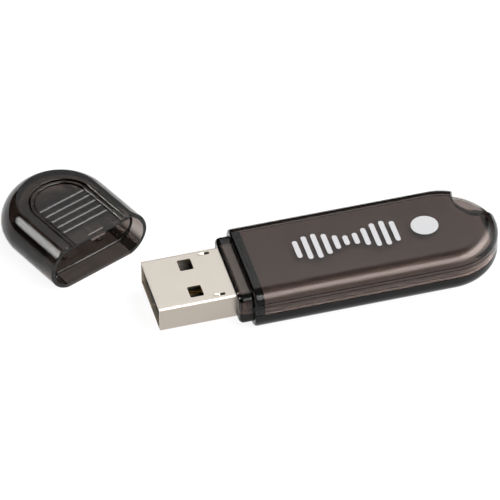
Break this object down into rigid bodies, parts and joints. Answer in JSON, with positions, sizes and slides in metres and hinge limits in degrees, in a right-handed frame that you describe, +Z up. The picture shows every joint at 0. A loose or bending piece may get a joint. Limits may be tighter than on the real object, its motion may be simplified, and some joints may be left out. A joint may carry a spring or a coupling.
{
  "type": "pointer mover stick",
  "caption": "Pocket plug-in stick with a smoke plastic body, bronze lining, folded steel plug, circuit board, lanyard corner and a ribbed pull-off cap.",
  "frame": {"origin": "on the flat underside of the stick, below the middle of its body", "axes": "+X from the plug towards the round tail, +Z up, +Y towards the lanyard corner's side"},
  "size_m": [0.0756, 0.0401, 0.0082],
  "materials": {
    "smoke_upper": "gloss, clear smoke",
    "smoke_lower": "gloss, dense smoke",
    "bronze_lining": "satin, vacuum-metallised dark bronze",
    "plated_steel": "bright, nickel plated",
    "black_plastic": "matt, moulded",
    "gold_contact": "bright, gold plated",
    "board_mask": "semi-gloss solder mask",
    "chip_plastic": "matt, moulded",
    "tinned_lead": "satin, tinned",
    "nickel_can": "satin, nickel",
    "tan_ceramic": "matt ceramic",
    "resistor_black": "matt, glazed ceramic",
    "fuse_polymer": "matt",
    "smoke_cap": "gloss, dark smoke"
  },
  "bodies": {
    "stick": {"top_shell": "smoke_upper", "bottom_shell": "smoke_lower", "inner_cover": "bronze_lining", "plug_shell": "plated_steel", "plug_tongue": "black_plastic", "contact_power": "gold_contact", "contact_data_minus": "gold_contact", "contact_data_plus": "gold_contact", "contact_ground": "gold_contact", "circuit_board": "board_mask", "controller_chip": "chip_plastic", "controller_pins": "tinned_lead", "crystal": "nickel_can", "load_capacitors": "tan_ceramic", "decoupling_capacitors": "tan_ceramic", "pull_up_resistor": "resistor_black", "data_resistors": "resistor_black", "surge_diodes": "chip_plastic", "voltage_regulator": "chip_plastic", "fuse": "fuse_polymer"},
    "cap": {"cap": "smoke_cap"}
  },
  "joints": [
    {"name": "cap_slide", "type": "slide", "parent": "stick", "child": "cap", "axis": [-0.3971, 0.9178, 0], "range_m": [0, 0.016]}
  ]
}
